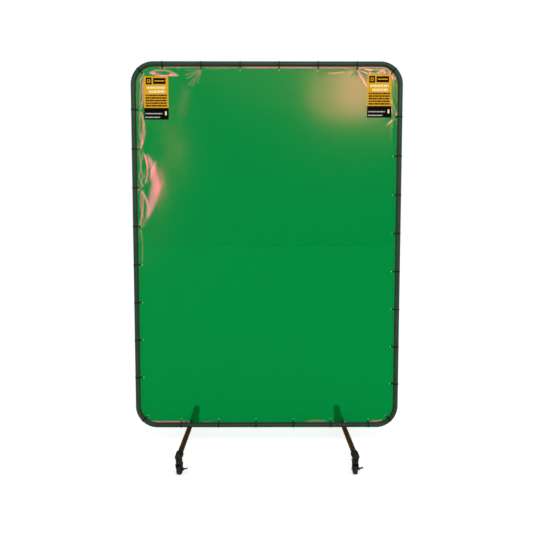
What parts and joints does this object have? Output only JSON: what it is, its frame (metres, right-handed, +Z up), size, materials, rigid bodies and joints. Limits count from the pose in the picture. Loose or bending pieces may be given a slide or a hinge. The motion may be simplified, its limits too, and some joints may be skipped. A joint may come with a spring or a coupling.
{
  "type": "welding curtain screen",
  "caption": "Free-standing welding screen: a green film curtain tied into a round tube frame that stands on two cross legs with swivel castors.",
  "frame": {"origin": "on the floor, midway between the castors and under the middle of the frame", "axes": "+Z up, X across the curtain's width, +Y towards the back, so that the curtain's front faces -Y"},
  "size_m": [1.3538, 0.733, 1.9519],
  "materials": {
    "frame_paint": "gloss",
    "leg_paint": "gloss",
    "elbow_plastic": "satin",
    "green_film": "gloss",
    "black_nylon": "matte",
    "zinc": "satin",
    "steel": "satin",
    "wheel_rubber": "matte"
  },
  "bodies": {
    "frame": {"upper_bow": "frame_paint", "lower_bow": "frame_paint", "left_upright": "frame_paint", "right_upright": "frame_paint", "curtain": "green_film", "left_leg_bolt": "zinc", "right_leg_bolt": "zinc", "tie_top_1": "black_nylon", "tie_top_2": "black_nylon", "tie_top_3": "black_nylon", "tie_top_4": "black_nylon", "tie_top_5": "black_nylon", "tie_top_6": "black_nylon", "tie_left_1": "black_nylon", "tie_left_2": "black_nylon", "tie_left_3": "black_nylon", "tie_left_4": "black_nylon", "tie_left_5": "black_nylon", "tie_left_6": "black_nylon", "tie_left_7": "black_nylon", "tie_left_8": "black_nylon", "tie_bottom_1": "black_nylon", "tie_bottom_2": "black_nylon", "tie_bottom_3": "black_nylon", "tie_bottom_4": "black_nylon", "tie_bottom_5": "black_nylon", "tie_bottom_6": "black_nylon", "tie_right_1": "black_nylon", "tie_right_2": "black_nylon", "tie_right_3": "black_nylon", "tie_right_4": "black_nylon", "tie_right_5": "black_nylon", "tie_right_6": "black_nylon", "tie_right_7": "black_nylon", "tie_right_8": "black_nylon", "tie_corner_top_left": "black_nylon", "tie_corner_top_right": "black_nylon", "tie_corner_bottom_left": "black_nylon", "tie_corner_bottom_right": "black_nylon"},
    "left_leg": {"left_leg": "leg_paint", "front_left_elbow": "elbow_plastic", "rear_left_elbow": "elbow_plastic"},
    "right_leg": {"right_leg": "leg_paint", "front_right_elbow": "elbow_plastic", "rear_right_elbow": "elbow_plastic"},
    "front_left_castor": {"front_left_fork": "zinc", "front_left_axle": "steel"},
    "front_left_wheel": {"front_left_wheel": "wheel_rubber"},
    "front_left_brake": {"front_left_brake_lever": "zinc"},
    "front_right_castor": {"front_right_fork": "zinc", "front_right_axle": "steel"},
    "front_right_wheel": {"front_right_wheel": "wheel_rubber"},
    "front_right_brake": {"front_right_brake_lever": "zinc"},
    "rear_left_castor": {"rear_left_fork": "zinc", "rear_left_axle": "steel"},
    "rear_left_wheel": {"rear_left_wheel": "wheel_rubber"},
    "rear_right_castor": {"rear_right_fork": "zinc", "rear_right_axle": "steel"},
    "rear_right_wheel": {"rear_right_wheel": "wheel_rubber"}
  },
  "joints": [
    {"name": "left_leg_swivel", "type": "hinge", "parent": "frame", "child": "left_leg", "pos_m": [-0.404, 0, 0.0872], "axis": [0, 0, 1], "range_deg": [-55, 55]},
    {"name": "right_leg_swivel", "type": "hinge", "parent": "frame", "child": "right_leg", "pos_m": [0.404, 0, 0.0872], "axis": [0, 0, 1], "range_deg": [-55, 55]},
    {"name": "front_left_castor_swivel", "type": "hinge", "parent": "left_leg", "child": "front_left_castor", "pos_m": [-0.404, -0.35, 0.0647], "axis": [0, 0, 1], "continuous": true},
    {"name": "front_left_wheel_spin", "type": "hinge", "parent": "front_left_castor", "child": "front_left_wheel", "pos_m": [-0.40191, -0.33515, 0.025], "axis": [0.9903, -0.1392, 0], "continuous": true},
    {"name": "front_left_brake", "type": "hinge", "parent": "front_left_castor", "child": "front_left_brake", "pos_m": [-0.38379, -0.33769, 0.025], "axis": [0.1392, 0.9903, 0], "range_deg": [0, 35]},
    {"name": "front_right_castor_swivel", "type": "hinge", "parent": "right_leg", "child": "front_right_castor", "pos_m": [0.404, -0.35, 0.0647], "axis": [0, 0, 1], "continuous": true},
    {"name": "front_right_wheel_spin", "type": "hinge", "parent": "front_right_castor", "child": "front_right_wheel", "pos_m": [0.404, -0.335, 0.025], "axis": [1, 0, 0], "continuous": true},
    {"name": "front_right_brake", "type": "hinge", "parent": "front_right_castor", "child": "front_right_brake", "pos_m": [0.4223, -0.335, 0.025], "axis": [0, 1, 0], "range_deg": [0, 35]},
    {"name": "rear_left_castor_swivel", "type": "hinge", "parent": "left_leg", "child": "rear_left_castor", "pos_m": [-0.404, 0.35, 0.0647], "axis": [0, 0, 1], "continuous": true},
    {"name": "rear_left_wheel_spin", "type": "hinge", "parent": "rear_left_castor", "child": "rear_left_wheel", "pos_m": [-0.404, 0.335, 0.025], "axis": [-1, 0, 0], "continuous": true},
    {"name": "rear_right_castor_swivel", "type": "hinge", "parent": "right_leg", "child": "rear_right_castor", "pos_m": [0.404, 0.35, 0.0647], "axis": [0, 0, 1], "continuous": true},
    {"name": "rear_right_wheel_spin", "type": "hinge", "parent": "rear_right_castor", "child": "rear_right_wheel", "pos_m": [0.404, 0.335, 0.025], "axis": [-1, 0, 0], "continuous": true}
  ]
}
